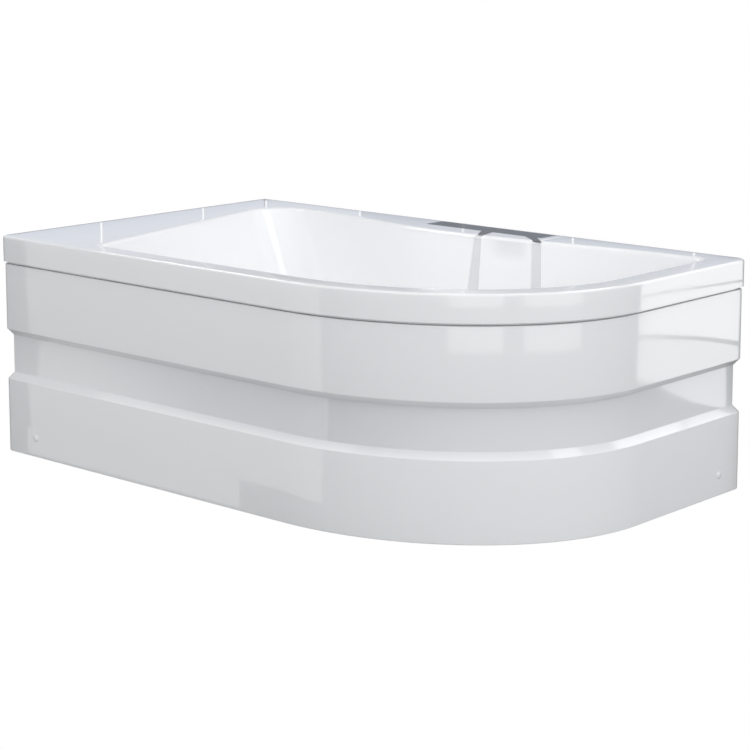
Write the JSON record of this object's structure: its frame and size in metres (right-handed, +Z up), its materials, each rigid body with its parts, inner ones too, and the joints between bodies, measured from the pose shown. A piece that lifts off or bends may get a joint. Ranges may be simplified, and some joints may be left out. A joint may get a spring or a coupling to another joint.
{
  "type": "corner shower bath",
  "caption": "Corner shower bath with two straight wall sides, a curved one-piece front panel, a grey plate for a shower column, a pop-up waste and a steel frame on adjustable feet.",
  "frame": {"origin": "centre of the footprint's bounding box, on the floor", "axes": "+X along the long wall towards the curved end, +Y towards the long wall, +Z up"},
  "size_m": [1.5, 0.88, 0.52],
  "materials": {
    "bath_acrylic": "glossy white",
    "panel_acrylic": "glossy white",
    "glass_fibre": "rough, resin over chopped strands",
    "board": "particle board",
    "batten_wood": "sawn softwood",
    "grey_plate": "dark grey, satin",
    "zinc_plate": "zinc plated",
    "screw_steel": "zinc plated",
    "white_caps": "glossy white",
    "frame_steel": "white powder coat",
    "black_plastic": "satin black",
    "stud_steel": "zinc plated thread",
    "pad_plastic": "satin black",
    "chrome": "polished",
    "brass": "turned",
    "seal_rubber": "matte",
    "cable_sheath": "satin black sheath",
    "pipe_plastic": "white pipe",
    "trap_plastic": "white moulding"
  },
  "bodies": {
    "bath": {"tub_shell": "bath_acrylic", "glass_fibre_backing": "glass_fibre", "base_board": "board", "rim_battens": "batten_wood", "column_seat": "grey_plate", "front_panel": "panel_acrylic", "panel_clips": "zinc_plate", "panel_brackets": "zinc_plate", "panel_screws": "screw_steel", "cap_washers": "white_caps", "screw_caps": "white_caps", "long_rails": "frame_steel", "end_rails": "frame_steel", "diagonal_rail": "frame_steel", "cross_rails": "frame_steel", "bearer_rail": "frame_steel", "rail_end_plugs": "black_plastic", "rim_posts": "frame_steel", "post_plates": "zinc_plate", "post_plate_screws": "screw_steel", "board_screws": "screw_steel", "wall_brackets": "zinc_plate", "leg_nuts": "zinc_plate", "lock_nuts": "zinc_plate", "waste_flange": "chrome", "waste_gasket": "seal_rubber", "waste_body": "trap_plastic", "trap_nut": "trap_plastic", "trap_body": "trap_plastic", "trap_cup": "trap_plastic", "outlet_nut": "trap_plastic", "outlet_pipe": "pipe_plastic", "overflow_face": "chrome", "overflow_gasket": "seal_rubber", "overflow_body": "trap_plastic", "overflow_nut": "trap_plastic", "overflow_pipe": "pipe_plastic", "overflow_elbow": "trap_plastic", "overflow_cross_pipe": "pipe_plastic", "inlet_nut": "trap_plastic", "plug_cable": "cable_sheath"},
    "foot_1": {"foot_stud_1": "stud_steel", "foot_pad_1": "pad_plastic"},
    "foot_2": {"foot_stud_2": "stud_steel", "foot_pad_2": "pad_plastic"},
    "foot_3": {"foot_stud_3": "stud_steel", "foot_pad_3": "pad_plastic"},
    "foot_4": {"foot_stud_4": "stud_steel", "foot_pad_4": "pad_plastic"},
    "foot_5": {"foot_stud_5": "stud_steel", "foot_pad_5": "pad_plastic"},
    "foot_6": {"foot_stud_6": "stud_steel", "foot_pad_6": "pad_plastic"},
    "knob": {"overflow_knob": "chrome"},
    "plug": {"popup_plug": "chrome", "plug_stem": "brass"}
  },
  "joints": [
    {"name": "foot_1_screw", "type": "slide", "parent": "bath", "child": "foot_1", "axis": [0, 0, -1], "range_m": [-0.01, 0.015]},
    {"name": "foot_2_screw", "type": "slide", "parent": "bath", "child": "foot_2", "axis": [0, 0, -1], "range_m": [-0.01, 0.015]},
    {"name": "foot_3_screw", "type": "slide", "parent": "bath", "child": "foot_3", "axis": [0, 0, -1], "range_m": [-0.01, 0.015]},
    {"name": "foot_4_screw", "type": "slide", "parent": "bath", "child": "foot_4", "axis": [0, 0, -1], "range_m": [-0.01, 0.015]},
    {"name": "foot_5_screw", "type": "slide", "parent": "bath", "child": "foot_5", "axis": [0, 0, -1], "range_m": [-0.01, 0.015]},
    {"name": "foot_6_screw", "type": "slide", "parent": "bath", "child": "foot_6", "axis": [0, 0, -1], "range_m": [-0.01, 0.015]},
    {"name": "knob_turn", "type": "hinge", "parent": "bath", "child": "knob", "pos_m": [0.67657, 0.19, 0.45], "axis": [0.9903, 0, -0.1392], "range_deg": [0, 90]},
    {"name": "plug_lift", "type": "slide", "parent": "bath", "child": "plug", "axis": [0, 0, 1], "range_m": [0, 0.01]}
  ],
  "couplings": [
    {"joint": "plug_lift", "follows": "knob_turn", "m_per_rad": 0.006366}
  ]
}
